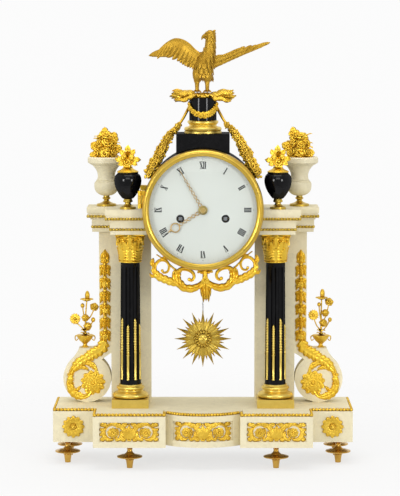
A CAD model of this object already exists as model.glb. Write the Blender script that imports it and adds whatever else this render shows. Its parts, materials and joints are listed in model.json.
"""Looks of the portico clock: studio, materials and the carved gilt mounts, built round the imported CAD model."""

import json
from math import asin, cos, degrees, pi, radians, sin, sqrt
import random

import bmesh
import bpy
import numpy as np
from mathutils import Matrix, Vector


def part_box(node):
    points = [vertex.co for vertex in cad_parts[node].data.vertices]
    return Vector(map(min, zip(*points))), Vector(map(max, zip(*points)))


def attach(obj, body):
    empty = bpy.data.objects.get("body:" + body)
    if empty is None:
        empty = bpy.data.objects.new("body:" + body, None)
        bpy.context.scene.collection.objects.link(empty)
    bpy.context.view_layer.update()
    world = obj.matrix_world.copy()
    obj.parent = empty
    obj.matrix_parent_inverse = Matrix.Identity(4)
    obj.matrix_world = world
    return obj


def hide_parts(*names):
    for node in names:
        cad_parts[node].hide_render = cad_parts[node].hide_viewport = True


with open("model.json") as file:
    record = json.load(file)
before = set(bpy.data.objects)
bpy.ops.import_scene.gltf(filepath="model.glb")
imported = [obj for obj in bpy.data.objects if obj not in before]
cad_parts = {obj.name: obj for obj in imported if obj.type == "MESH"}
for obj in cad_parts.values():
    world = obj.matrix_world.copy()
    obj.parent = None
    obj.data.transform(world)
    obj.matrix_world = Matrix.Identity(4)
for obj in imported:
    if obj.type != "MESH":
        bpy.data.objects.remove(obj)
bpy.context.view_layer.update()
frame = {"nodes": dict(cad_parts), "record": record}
MM = 0.001
chance = random.Random(17)


def box_mm(node):
    """Lowest and highest corner of a CAD node, in mm."""
    return [np.array(corner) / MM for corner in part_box(node)]


# Places, in mm, read from the frame
base_lo, base_hi = box_mm("base_block")
base_top = base_hi[2]
front_y = base_lo[1]
column_lo, column_hi = box_mm("columns")
column_r = (column_hi[1] - column_lo[1]) / 2
column_y = (column_hi[1] + column_lo[1]) / 2
column_x = column_hi[0] - column_r
shaft_z = column_lo[2]
capital_z = column_hi[2]
drum_lo, drum_hi = box_mm("drum_case")
drum_r = (drum_hi[2] - drum_lo[2]) / 2
dial_z = (drum_hi[2] + drum_lo[2]) / 2
drum_front = drum_lo[1]
pedestal_lo, pedestal_hi = box_mm("pedestal_drum")
pedestal_y = (pedestal_hi[1] + pedestal_lo[1]) / 2
pedestal_r = (pedestal_hi[1] - pedestal_lo[1]) / 2
console_y = box_mm("console_right")[0][1]
white_urn_lo, white_urn_hi = box_mm("white_urns")
black_urn_lo, black_urn_hi = box_mm("black_urns")
# Sizes of the part's source that no box shows
PANEL_DEEP, PANEL_Z = 2.4, 48.78
BOW_R, BOW_HALF, BOW_BACK = 66.89, 46.7, 19
bow_y = front_y + BOW_R
BLOCK_X, BLOCK_DEEP = 137.7, 40
FLUTE_TURN, NECK_R = 32, 12.0
CHAIN_X = 125.5
VASE_X, VASE_Y = 151.98, 34.95
SPRAY_URN_R = 17.2
EAGLE_Z = 470.8
# Steps in depth of flat backs
BACK_LAYERS, BACK_STEP = 13, 0.025
# Edges that bend by more degrees than this look sharp
SHARP_ANGLE = 50


def circle(n):
    """Angles at even distances round a circle."""
    return np.linspace(0, 2 * np.pi, n, endpoint=False)


def surface(x, y, z):
    """Grid of points from its coordinates."""
    return np.stack(np.broadcast_arrays(x, y, z), -1)


def heading(turn, lift=0.0):
    """Direction with a turn round the upright axis and a lift, in degrees."""
    a, e = radians(turn), radians(lift)
    return np.array([cos(a) * cos(e), sin(a) * cos(e), sin(e)])


# Meshes
class Form:
    """Closed surfaces gathered for one piece, in mm."""

    def __init__(self):
        self.points, self.faces, self.count, self.layers = [], [], 0, 0

    def add(self, points, faces):
        self.points.append(np.asarray(points, float).reshape(-1, 3))
        self.faces += (np.asarray(faces) + self.count).tolist()
        self.count += len(self.points[-1])

    def layer(self):
        """A different small depth for each form, so that flat backs that overlap don't share one plane."""
        self.layers = (self.layers + 1) % BACK_LAYERS
        return BACK_STEP * self.layers

    def shell(self, front, back):
        """Two grids of points of one size, joined round their rims."""
        n, m = front.shape[:2]
        a = np.arange(n * m).reshape(n, m)
        b = a + n * m
        rim = np.concatenate([a[:, 0], a[-1, 1:], a[-2::-1, -1], a[0, -2:0:-1]])
        turn = np.roll(rim, -1)
        quads = [np.stack([a[:-1, :-1], a[1:, :-1], a[1:, 1:], a[:-1, 1:]], -1).reshape(-1, 4),
                 np.stack([b[:-1, :-1], b[:-1, 1:], b[1:, 1:], b[1:, :-1]], -1).reshape(-1, 4),
                 np.stack([rim, rim + n * m, turn + n * m, turn], -1)]
        self.add(np.concatenate([front.reshape(-1, 3), back.reshape(-1, 3)]), np.concatenate(quads))

    def relief(self, to, front, back):
        """A grid of points in a frame, closed by a back of the same plan at another height."""
        behind = front.copy()
        behind[..., 2] = back
        self.shell(to(front), to(behind))

    def sleeve(self, rings):
        """Rings of points joined in a row, with a point that closes each end."""
        n, k = rings.shape[:2]
        a = np.arange(n * k).reshape(n, k)
        b = np.roll(a, -1, 1)
        self.add(np.concatenate([rings.reshape(-1, 3), rings[:1].mean(1), rings[-1:].mean(1)]),
                 np.stack([a[:-1], a[1:], b[1:], b[:-1]], -1).reshape(-1, 4))
        start = self.count - n * k - 2
        ends = [[start + a[0, j], start + b[0, j], start + n * k] for j in range(k)]
        ends += [[start + b[-1, j], start + a[-1, j], start + n * k + 1] for j in range(k)]
        self.faces += [[int(i) for i in f] for f in ends]

    def piece(self, name, body, slot, material, *nodes):
        """The Blender object, riding on a body in place of CAD nodes."""
        mesh = bpy.data.meshes.new(name)
        mesh.from_pydata((np.concatenate(self.points) * MM).tolist(), [], self.faces)
        work = bmesh.new()
        work.from_mesh(mesh)
        bmesh.ops.recalc_face_normals(work, faces=work.faces)
        work.to_mesh(mesh)
        work.free()
        mesh.shade_smooth()
        mesh.set_sharp_from_angle(angle=radians(SHARP_ANGLE))
        mesh.materials.append(material)
        made = bpy.data.objects.new(name, mesh)
        bpy.context.scene.collection.objects.link(made)
        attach(made, body)
        if nodes:
            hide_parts(*nodes)


# Frames that take flat ornament (right, up, out) to its place
def wall(y, x=0.0, z=0.0, side=1, turn=0.0):
    """A flat face that looks to the front, mirrored where side is -1."""
    c, s = cos(radians(turn)), sin(radians(turn))

    def to(p):
        return np.stack([side * (x + p[..., 0] * c - p[..., 1] * s), y - p[..., 2],
                         z + p[..., 0] * s + p[..., 1] * c], -1)
    return to


def round_face(y, z, radius):
    """A face bent round an upright axis in the middle plane."""
    def to(p):
        r, a = radius + p[..., 2], p[..., 0] / radius
        return np.stack([r * np.sin(a), y - r * np.cos(a), z + p[..., 1]], -1)
    return to


def stand(origin, out, up=(0, 0, 1)):
    """A frame at a point that looks along out, with up as near as can be to the given direction."""
    out = np.array(out, float) / np.linalg.norm(out)
    right = np.cross(np.array(up, float), out)
    if np.linalg.norm(right) < 1e-6:
        right = np.cross((0.0, 1.0, 0.0), out)
    right /= np.linalg.norm(right)
    up = np.cross(out, right)

    def to(p):
        return np.array(origin, float) + p[..., :1] * right + p[..., 1:2] * up + p[..., 2:] * out
    return to


def turned(to, angle, x=0.0, y=0.0, z=0.0):
    """A frame turned within another by an angle in degrees, at a point of it."""
    c, s = cos(radians(angle)), sin(radians(angle))

    def inner(p):
        return to(np.stack([x + p[..., 0] * c - p[..., 1] * s, y + p[..., 0] * s + p[..., 1] * c, z + p[..., 2]], -1))
    return inner


def mirrored(to, side):
    """A frame that is flipped from right to left where side is -1."""
    def face(p):
        return to(np.concatenate([p[..., :1] * side, p[..., 1:]], -1))
    return face


def plain(p):
    """The frame of the whole part."""
    return p


# Lines
def smooth(points, n):
    """A smooth curve through points."""
    p = np.asarray(points, float)
    p = np.vstack([2 * p[0] - p[1], p, 2 * p[-1] - p[-2]])
    t = np.linspace(0, len(p) - 3 - 1e-9, n)
    i = t.astype(int)
    f = (t - i)[:, None]
    a, b, c, d = p[i], p[i + 1], p[i + 2], p[i + 3]
    return b + 0.5 * f * (c - a + f * (2 * a - 5 * b + 4 * c - d + f * (3 * (b - c) + d - a)))


def even(path, n):
    """Points at even distances along a line."""
    path = np.asarray(path, float)
    run = np.r_[0, np.cumsum(np.linalg.norm(np.diff(path, axis=0), axis=1))]
    t = np.linspace(0, run[-1], n)
    return np.stack([np.interp(t, run, path[:, k]) for k in range(path.shape[1])], -1)


def spiral(x, y, r0, r1, a0, a1, n):
    """Points of a spiral in the plane, with angles in degrees."""
    t = np.linspace(0, 1, n)
    a, r = np.radians(a0 + (a1 - a0) * t), r0 + (r1 - r0) * t
    return [(x + r[i] * cos(a[i]), y + r[i] * sin(a[i])) for i in range(n)]


def flat_line(points, n):
    """An evenly spaced smooth line with its side directions, and its height out of the plane."""
    p = np.asarray(points, float)
    line = even(smooth(p, 8 * len(p) + 24), n)
    along = np.gradient(line[:, :2], axis=0)
    along /= np.linalg.norm(along, axis=1)[:, None]
    out = line[:, 2] if line.shape[1] > 2 else np.zeros(n)
    return line[:, :2], along, np.stack([-along[:, 1], along[:, 0]], -1), out


# Carved forms
def leaf(form, to, points, width, lobes=4, rise=2.4, cut=0.42, base=0.4, tip=0.05, thick=0.0, lean=0.5):
    """Acanthus leaf along a line, with lobes, a midrib groove and veins. With no thickness its back is flat."""
    n = 6 * lobes + 2
    line, along, side, out = flat_line(points, n)
    t, v = np.linspace(0, 1, n), np.linspace(-1, 1, 9)
    full = np.clip(base * (1 - t) ** 2 + np.sin(np.pi * t ** 0.8) ** 0.75, tip, 1.0)
    lobe = np.sin(np.pi * (t * lobes * 0.999 % 1) ** 0.62)
    half = width / 2 * full * (1 - cut + cut * lobe)
    reach = v * half[:, None]
    plan = line[:, None] + side[:, None] * reach[..., None] + along[:, None] * (np.abs(reach) * lean)[..., None]
    bulge = rise * (0.35 + 0.65 * full)[:, None] * (1 - 0.62 * v ** 2)
    vein = rise * 0.24 * np.abs(v) * (2 * lobe - 1)[:, None] * (np.abs(v) < 0.99)
    rib = rise * 0.22 * (np.abs(v) < 0.1)
    high = out[:, None] + bulge + vein - rib
    back = high - thick if thick else np.minimum(out[:, None], high - 0.2) - form.layer()
    form.relief(to, np.dstack([plan, high]), back)


def band(form, to, points, w0, w1, h0, h1, n=40, groove=0.3):
    """Stem or scroll of a rounded section with a groove, flat at the back."""
    line, _, side, out = flat_line(points, n)
    t, v = np.linspace(0, 1, n), np.linspace(-1, 1, 9)
    w, h = (w0 + (w1 - w0) * t) / 2, h0 + (h1 - h0) * t
    plan = line[:, None] + side[:, None] * (v * w[:, None])[..., None]
    arch = np.sqrt(np.clip(1 - v ** 2 * 0.94, 0, 1)) - groove * np.exp(-(v / 0.3) ** 2)
    form.relief(to, np.dstack([plan, out[:, None] + h[:, None] * arch]), out[:, None] - form.layer())


def petal(form, to, length, width, lift, cup, thick, point):
    """Petal along the frame's first direction, with a round end or a pointed one."""
    u, v = np.linspace(0, 1, 7)[:, None], np.linspace(-1, 1, 5)
    if point:
        half = np.maximum(np.sin(np.pi * (0.14 + 0.84 * u)) ** 0.9, 0.05)
    else:
        half = np.where(u < 0.6, 0.3 + 0.7 * (u / 0.6) ** 0.8, np.sqrt(np.clip(1 - ((u - 0.6) / 0.42) ** 2, 0, 1)))
    half = half * width / 2
    high = lift + cup * np.sin(np.pi * 0.75 * u) - width * 0.1 * (u > 0.1) * (v == 0) - width * 0.12 * v ** 2
    form.relief(to, surface(length * (0.08 + 0.92 * u), half * v, high), high - thick)


def ball(form, to, x, y, z, r, tall=1.0, n=10):
    """Round bead, berry or bud in a frame."""
    a, b = np.linspace(0.02, np.pi - 0.02, n // 2 + 2)[:, None], circle(n)
    form.sleeve(to(surface(x + r * np.sin(a) * np.cos(b), y + r * np.sin(a) * np.sin(b), z + tall * r * np.cos(a))))


def flower(form, to, r, petals=6, layers=2, deep=0.5, heart=0.26, point=False):
    """Flower of grooved petals in layers, with a beaded heart, looking along the frame's out direction."""
    for k in range(layers):
        size = r * (1 - 0.34 * k)
        wide = (2.3 if point else 1.85) * size * sin(pi / petals)
        for i in range(petals):
            petal(form, turned(to, (i + 0.5 * k) * 360 / petals + 11 * k), size, wide,
                  r * deep * 0.3 * k, r * deep * (0.5 + 0.2 * k), max(0.5, r * 0.1), point)
    ball(form, to, 0, 0, r * deep * (0.3 + 0.3 * layers), r * heart, 0.8)
    for i in range(6 if r > 5 else 0):
        a = radians(60 * i)
        ball(form, to, r * heart * cos(a), r * heart * sin(a), r * deep * (0.2 + 0.3 * layers), r * 0.1, 1, 6)


def tube(form, points, radius, sides=8, n=None):
    """Round stem along points in mm, with a radius at each of them or one for all."""
    points = np.asarray(points, float)
    n = n or 6 * len(points)
    line = smooth(points, n)
    size = np.interp(np.linspace(0, 1, n), np.linspace(0, 1, np.size(radius)), np.atleast_1d(radius))
    along = np.gradient(line, axis=0)
    along /= np.linalg.norm(along, axis=1)[:, None]
    side = np.cross(along[0], (0.31, 0.87, 0.38))
    a = circle(sides)[:, None]
    rings = []
    for i in range(n):
        side = side - along[i] * side.dot(along[i])
        side /= np.linalg.norm(side)
        rings.append(line[i] + size[i] * (np.cos(a) * side + np.sin(a) * np.cross(along[i], side)))
    form.sleeve(np.array(rings))


def lathe(form, x, y, z, profile, n=40, fold=None):
    """Turned body of (radius, height) points round an upright axis; fold varies the radius round it."""
    a = circle(n)
    rings = []
    for r, h in profile:
        size = r * (fold(a, h) if fold else 1)
        rings.append(surface(x + size * np.cos(a), y + size * np.sin(a), z + h))
    form.sleeve(np.array(rings))


def sprig(form, origin, out, length, width, lobes=2, droop=0.0, up=(0, 0, 1)):
    """Free leaf that leaves a point along a direction and bends over."""
    out = np.array(out, float) / np.linalg.norm(out)
    face = np.array(up, float) - out * np.dot(up, out)
    way = [(0, 0, 0), (0.4, length * 0.35, length * 0.1), (-0.3, length * 0.7, length * 0.08 - droop * 0.4),
           (0.2, length, -droop)]
    leaf(form, stand(origin, face, out), way, width, lobes, width * 0.18, 0.35, thick=0.8)


# Materials
def node_adder(tree):
    """Clears a node tree, and gives a helper that adds nodes to it.

    i0 or a socket's name sets or links an input, a property's name sets the property, and a node that is given as a
    value stands for its first output.
    """
    tree.nodes.clear()

    def add(kind, **values):
        node = tree.nodes.new("ShaderNode" + kind)
        for key, value in values.items():
            numbered = key[1:].isdigit()
            if key.islower() and not numbered:
                setattr(node, key, value)
                continue
            target = node.inputs[int(key[1:]) if numbered else key.replace("_", " ")]
            if isinstance(value, bpy.types.Node):
                value = value.outputs[0]
            if isinstance(value, bpy.types.NodeSocket):
                tree.links.new(value, target)
            else:
                target.default_value = value
        return node
    return add


def material(name):
    """Empty node material, and the helper that adds its nodes."""
    made = bpy.data.materials.new(name)
    made.use_nodes = True
    return made, node_adder(made.node_tree)


def ramp(add, value, *stops):
    """Ramp through stops, each with a place and a colour or a grey."""
    node = add("ValToRGB", Fac=value)
    bar = node.color_ramp
    while len(bar.elements) < len(stops):
        bar.elements.new(0.5)
    for element, (place, colour) in zip(bar.elements, stops):
        element.position = place
        element.color = (*np.broadcast_to(colour, 3), 1.0)
    return node


def marble(name, pale, vein, cloud, rough, specular, scale):
    """Polished stone with clouding and thin wandering veins."""
    made, add = material(name)
    at = add("TexCoord").outputs["Object"]
    warp = add("TexNoise", Vector=at, Scale=scale, Detail=6.0, Roughness=0.6).outputs["Color"]
    moved = add("VectorMath", operation="MULTIPLY_ADD", i0=warp, i1=warp, i2=at)
    clouds = add("TexNoise", Vector=moved, Scale=scale * 0.7, Detail=8.0, Roughness=0.62)
    wander = add("TexNoise", Vector=moved, Scale=scale * 0.45, Detail=4.0, Roughness=0.5)
    line = ramp(add, wander, (0.46, 0.0), (0.497, 1.0), (0.503, 1.0), (0.54, 0.0))
    faint = add("Math", operation="MULTIPLY", i0=line, i1=0.22)
    stone = ramp(add, clouds, (0.34, cloud), (0.66, pale))
    colour = add("Mix", data_type="RGBA", i0=faint, i6=stone, i7=(*vein, 1.0))
    fine = add("TexNoise", Vector=at, Scale=scale * 40, Detail=3.0)
    gloss = ramp(add, fine, (0.3, rough * 0.8), (0.7, rough * 1.2))
    bump = add("Bump", Strength=0.03, Distance=0.0004, Height=fine)
    body = add("BsdfDiffuse", Color=colour.outputs[2], Normal=bump)
    sheen = add("BsdfGlossy", Roughness=gloss, Normal=bump)
    share = add("Math", operation="MULTIPLY_ADD", i0=add("Fresnel", IOR=1.45), i1=0.06, i2=specular)
    add("OutputMaterial", Surface=add("MixShader", i0=share, i1=body, i2=sheen))
    return made


def metal(name, bright, dull, deep, rough, scale=60.0, crevice=0.0022):
    """Gilt or brass with tarnish in its hollows, a worked surface and uneven gloss."""
    made, add = material(name)
    at = add("TexCoord").outputs["Object"]
    patch = add("TexNoise", Vector=at, Scale=scale, Detail=5.0, Roughness=0.6)
    grain = add("TexNoise", Vector=at, Scale=scale * 22, Detail=3.0)
    skin = ramp(add, patch, (0.36, dull), (0.6, bright))
    hollow = add("AmbientOcclusion", samples=6, Distance=crevice).outputs["AO"]
    open_part = ramp(add, hollow, (0.12, 0.0), (0.66, 1.0))
    colour = add("Mix", data_type="RGBA", i0=open_part, i6=(*deep, 1.0), i7=skin)
    gloss = ramp(add, patch, (0.3, rough * 1.3), (0.7, rough * 0.85))
    bump = add("Bump", Strength=0.12, Distance=0.0003, Height=grain)
    add("OutputMaterial", Surface=add("BsdfPrincipled", Base_Color=colour.outputs[2], Roughness=gloss, Metallic=1.0,
                                      Normal=bump))
    return made


def coat(name, colour, spread, rough):
    """Fired enamel or paint with faint clouding."""
    made, add = material(name)
    cloud = add("TexNoise", Vector=add("TexCoord").outputs["Object"], Scale=28.0, Detail=4.0)
    low = tuple(c * (1 - spread) for c in colour)
    skin = ramp(add, cloud, (0.35, low), (0.65, colour))
    add("OutputMaterial", Surface=add("BsdfPrincipled", Base_Color=skin, Roughness=rough))
    return made


def thin_glass(name):
    """Clear pane: what is behind it, with reflections on its outer side that grow toward its edge."""
    made, add = material(name)
    outer = add("Math", operation="SUBTRACT", i0=1.0, i1=add("NewGeometry").outputs["Backfacing"])
    share = add("Math", operation="MULTIPLY", i0=add("Fresnel", IOR=1.25), i1=outer)
    clear = add("BsdfTransparent", Color=(0.985, 0.995, 0.99, 1.0))
    gloss = add("BsdfGlossy", Roughness=0.02)
    add("OutputMaterial", Surface=add("MixShader", i0=share, i1=clear, i2=gloss))
    return made


WHITE = marble("white_marble", (0.83, 0.755, 0.525), (0.56, 0.50, 0.37), (0.765, 0.69, 0.47), 0.34, 0.03, 14.0)
BLACK = marble("black_marble", (0.0035, 0.0035, 0.0042), (0.018, 0.018, 0.02), (0.0015, 0.0015, 0.002), 0.09, 0.021,
               18.0)
GILT = metal("gilt_bronze", (0.90, 0.61, 0.07), (0.80, 0.51, 0.045), (0.36, 0.19, 0.018), 0.36)
DARK_GILT = metal("dark_gilt", (0.64, 0.385, 0.08), (0.48, 0.27, 0.048), (0.15, 0.07, 0.012), 0.22)
OLD_GILT = metal("old_gilt", (0.66, 0.47, 0.085), (0.54, 0.37, 0.06), (0.26, 0.16, 0.025), 0.36)
RING_GILT = metal("ring_gilt", (0.70, 0.48, 0.08), (0.60, 0.39, 0.055), (0.22, 0.12, 0.018), 0.3)
PALE_GILT = metal("pale_gilt", (0.82, 0.62, 0.15), (0.70, 0.51, 0.11), (0.30, 0.18, 0.03), 0.34)
FLOWER_GILT = metal("flower_gilt", (0.80, 0.53, 0.065), (0.64, 0.40, 0.042), (0.22, 0.105, 0.012), 0.38, 60.0, 0.005)
HAND_GILT = metal("hand_gilt", (0.60, 0.41, 0.19), (0.48, 0.31, 0.13), (0.2, 0.11, 0.04), 0.35)
GARLAND_GILT = metal("garland_gilt", (0.82, 0.54, 0.066), (0.58, 0.35, 0.038), (0.10, 0.04, 0.006), 0.34, 60.0, 0.007)
HUB_GILT = metal("hub_gilt", (0.40, 0.31, 0.12), (0.28, 0.21, 0.07), (0.10, 0.06, 0.02), 0.4)
BIRD_GILT = metal("bird_gilt", (0.50, 0.30, 0.036), (0.42, 0.24, 0.026), (0.25, 0.13, 0.014), 0.46, 60.0, 0.001)
BRASS = metal("brass", (0.78, 0.56, 0.22), (0.66, 0.45, 0.15), (0.2, 0.11, 0.03), 0.32, 40.0)
ROD_STEEL = metal("rod_steel", (0.80, 0.81, 0.83), (0.70, 0.71, 0.73), (0.3, 0.3, 0.31), 0.25, 45.0)
STEEL = metal("steel", (0.42, 0.43, 0.45), (0.32, 0.33, 0.35), (0.08, 0.08, 0.085), 0.3, 45.0)
BELL = metal("bell_metal", (0.66, 0.56, 0.40), (0.54, 0.44, 0.29), (0.16, 0.12, 0.07), 0.26, 40.0)
ENAMEL = coat("enamel", (0.735, 0.75, 0.715), 0.03, 0.16)
INK = coat("dial_ink", (0.006, 0.007, 0.012), 0.4, 0.5)
GLASS = thin_glass("glass")
FINISH = {"white_marble": WHITE, "black_marble": BLACK, "gilt_bronze": GILT, "dark_gilt": DARK_GILT, "brass": BRASS,
          "steel": STEEL, "bell_metal": BELL, "enamel": ENAMEL, "glass": GLASS}
# Nodes whose finish differs a little from their slot's
NODE_FINISH = {"column_bases": PALE_GILT, "pedestal_base": PALE_GILT, "bezel": RING_GILT, "white_urn_feet": OLD_GILT,
               "black_urn_feet": OLD_GILT, "pendulum_rod": ROD_STEEL}


def dress_cad():
    """Gives each CAD node its slot and its finish."""
    for entry in frame["record"]["subparts"]:
        node = frame["nodes"][entry["node"]]
        node.data.materials.clear()
        node.data.materials.append(NODE_FINISH.get(entry["node"], FINISH[entry["material_slot"]]))


# Mounts of the base
def bead_row(form, line, z, r, pitch, inset):
    """Beads on a low strip and a thin core along a plan line, set in from it to the left."""
    line = np.asarray(line, float)
    for a, b in zip(line[:-1], line[1:]):
        run = np.linalg.norm(b - a)
        along = (b - a) / run
        left = np.array([-along[1], along[0]]) * inset
        count = max(1, round(run / pitch))
        for i in range(count):
            p = a + along * run * (i + 0.5) / count + left
            ball(form, plain, p[0], p[1], z, r, 1.0, 12)
        tube(form, [np.append(p + left, z) for p in (a, b)], r * 0.45, 8, 2)
        strip = np.array([[a + left * 0.7, b + left * 0.7], [a + left * 2, b + left * 2]])
        top, low = (np.dstack([strip, np.full((2, 2), z - r * share)]) for share in (0.7, 1))
        form.shell(top, low)


def base_beading(form):
    half, back = base_hi[0], base_hi[1]
    step_y = front_y + BLOCK_DEEP
    left = [(-half, back), (-half, step_y), (-BLOCK_X, step_y), (-BLOCK_X, front_y), (-BOW_HALF, front_y),
            (-BOW_HALF, front_y + BOW_BACK)]
    reach = degrees(asin(BOW_HALF / BOW_R))
    bow = spiral(0, bow_y, BOW_R, BOW_R, 270 - reach, 270 + reach, 28)
    for line in (left, bow, [(-x, y) for x, y in left[::-1]]):
        bead_row(form, line, base_top - 1.6, r=2.15, pitch=4.5, inset=1.7)


# Leaves round each spiral of the friezes: line, width, lobes, rise, depth of the cuts
PANEL_LEAVES = (
    ([(5, -3), (8.6, 4.8), (14, 9.2), (21.5, 10.3), (29, 8.4)], 6.6, 6, 2.0, 0.3),
    ([(29.8, 6), (32.4, 0.5), (31.2, -6), (26, -10), (19, -10.4)], 6.4, 5, 1.9, 0.3),
    ([(18, -10.4), (12, -8.6), (9.8, -3.5), (11.4, 2)], 5.6, 4, 1.7, 0.3),
    ([(27, 8), (32, 9.2), (36.8, 8.6)], 6.4, 3, 1.8, 0.25),
    ([(29, -6.5), (33, -9), (36.8, -9)], 6.4, 3, 1.8, 0.25),
    ([(32, 1.5), (34.6, 2.8), (37, 4.4)], 4.4, 2, 1.6, 0.2),
    ([(32, -2), (34.6, -3), (37, -4.6)], 4.4, 2, 1.6, 0.2),
    ([(11, -6.5), (8, -9.4), (3.6, -10.4)], 6.0, 3, 1.7, 0.25),
    ([(9.4, 3), (7, 8), (1.4, 10.6)], 6.6, 3, 1.7, 0.25))


def panel_ornament(form, to):
    """Running scroll: a palmette in the middle, and on each side a leafy spiral round a rosette."""
    for angle in range(-72, 73, 24):
        size = 18.5 - abs(angle) / 12
        leaf(form, turned(to, angle, angle / 90, -9.5 + abs(angle) / 60),
             [(0, 0), (angle / 60, size * 0.5), (angle / 22, size)], 6.4, 2, 1.8, 0.15)
    flower(form, turned(to, 0, 0, -8.4), 3.8, 6, 1)
    ball(form, to, 0, 9.6, 0.6, 1.6)
    stem = [(1.5, -9.8), (5, -2), (9.8, 6)] + spiral(21.5, -0.4, 9.6, 8.0, 140, -205, 16)
    for side in (-1, 1):
        face = mirrored(to, side)
        band(form, face, stem, 2.8, 1.9, 1.8, 1.4, 60)
        for row in PANEL_LEAVES:
            leaf(form, face, *row)
        flower(form, turned(face, 9, 21.0, -1.2), 6.6, 8, 2, 0.34)
        leaf(form, face, [(13.6, -1.6), (14.6, 2.6), (18.4, 4.6)], 2.6, 2, 1.4, 0.2)


def frieze_panels(form):
    for side in (-1, 1):
        panel_ornament(form, wall(front_y + PANEL_DEEP, side * column_x, PANEL_Z))


def frieze_center(form):
    panel_ornament(form, round_face(bow_y, PANEL_Z, BOW_R - PANEL_DEEP + 0.1))


def rosette(form, to, *rings):
    """Rings of petals over each other, each with its turn, height, radius, number of petals, depth and heart."""
    for turn, high, r, petals, deep, heart in rings:
        flower(form, turned(to, turn, z=high), r, petals, 1, deep, heart)


def carve(form, to, rows):
    """Forms from a list, each row with a kind and what it takes."""
    for kind, *sizes in rows:
        kind(form, to, *sizes)


def base_rosettes(form):
    lo, hi = box_mm("base_rosettes")
    r = (hi[2] - lo[2]) / 2
    for side in (-1, 1):
        rosette(form, wall(hi[1], hi[0] - r, PANEL_Z, side), (0, 0, r * 1.16, 12, 0.4, 0.2),
                (15, 0.6, r * 0.8, 12, 0.4, 0.2), (0, 2.0, r * 0.34, 6, 0.4, 0.4))


# Mounts of the consoles
CONSOLE_FORMS = (
    # sweep from the chain down to the binding
    (band, [(126.5, 151), (129, 144), (135, 139), (145.4, 132), (157, 126), (165, 118.6), (169.4, 111), (170.5, 102)],
     8.4, 5.4, 3.2, 3.2, 60, 0.4),
    (leaf, [(126, 153), (129.5, 143.5), (137, 137.6), (146.4, 131.8), (156, 127)], 16.0, 7, 3.6, 0.3, 0.7),
    (leaf, [(138, 136), (148, 130.5), (158, 124.4), (165.6, 116), (169, 107)], 13.0, 7, 3.8, 0.25),
    (leaf, [(128, 148), (133, 136.5), (139, 131.5), (146, 129)], 6.6, 4, 3.0),
    # binding
    (ball, 170.4, 102.2, 1.4, 4.4, 0.6, 14),
    (leaf, [(170.4, 100.2), (170.4, 95.2)], 8.6, 2, 3.4, 0.1, 0.8),
    (leaf, [(170.4, 104.2), (170.4, 109.2)], 8.6, 2, 3.4, 0.1, 0.8),
    # scroll that ends under the rosette
    (band, [(170.8, 102), (172.2, 95), (167.5, 85), (157.5, 79), (149.5, 80.6), (144, 87)],
     7.4, 5.6, 3.4, 2.8, 50, 0.4),
    (leaf, [(172, 97), (167.4, 85.6), (158, 79.8), (149, 80.4)], 11.4, 6, 3.0, 0.22),
    (leaf, [(166, 86), (161.5, 88.5), (157, 93)], 5.0, 3, 2.4),
    # tendrils in the eye of the scroll
    (band, [(155, 125), (147.8, 125), (141, 121.8), (137.4, 114), (138.2, 111)], 3.2, 4.4, 2.2, 1.8, 30),
    (leaf, [(158, 122.6), (149.6, 123.6), (143, 120.4), (138.6, 113.6)], 8.0, 4, 2.6, 0.25),
    (leaf, [(166, 113), (158.5, 117.2), (151, 116.4), (146.6, 112.6)], 6.0, 4, 2.4, 0.2))


def console_mounts(form):
    for side in (-1, 1):
        to = wall(console_y, side=side)
        carve(form, to, CONSOLE_FORMS)
        rosette(form, turned(to, 12, 141.4, 97.6), (0, 0, 16.0, 11, 0.2, 0.2), (16, 1.0, 13.6, 10, 0.22, 0.2),
                (4, 2.0, 9.6, 9, 0.28, 0.2), (20, 2.8, 5.8, 7, 0.4, 0.4))


def husk_chains(form):
    low, high, count = 148.0, 250.0, 6
    step = (high - low) / count
    for side in (-1, 1):
        to = wall(console_y, CHAIN_X, 0, side)
        band(form, to, [(0, low - 2), (0, high + 4)], 4.6, 4.0, 2.4, 2.2, 40, 0.1)
        for i in range(count):
            z = high - step * i
            ball(form, to, 0, z + 0.6, 1.0, 2.6)
            for s in (-1, 1):
                tip = chance.uniform(-0.8, 0.8)
                leaf(form, to, [(s, z - 0.5), (s * 3.8, z - step * 0.3), (s * 4.4, z - step * 0.6),
                                (s * 6.2, z - step * 0.88 + tip)], 5.6, 4, 3.0, cut=0.3)
                leaf(form, to, [(s * 1.2, z - 1.5), (s * 4.4, z - 2.4 + tip), (s * 6.8, z - step * 0.36 + tip)], 4.4,
                     3, 2.6, cut=0.25)
            leaf(form, to, [(0, z), (0.3, z - step * 0.5), (chance.uniform(-0.8, 0.8), z - step)], 6.4, 4, 4.4,
                 cut=0.22)
            if i % 2:
                flower(form, turned(to, 31 * i, 0, z - step * 0.45, 3.2), 3.6, 5, 2, 0.5)
        for s in (-1, 1):
            leaf(form, to, [(0, high + 3), (s * 3.6, high + 8), (s * 2.6, high + 13.5), (0, high + 18)], 4.6, 2, 2.4,
                 cut=0.1)
            leaf(form, to, [(0, high + 1), (s * 3.4, high + 4), (s * 6, high + 3)], 3.8, 2, 2.0, cut=0.2)
        leaf(form, to, [(0, high + 2), (0, high + 10), (0, high + 20)], 6.4, 3, 3.6, cut=0.12)


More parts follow.
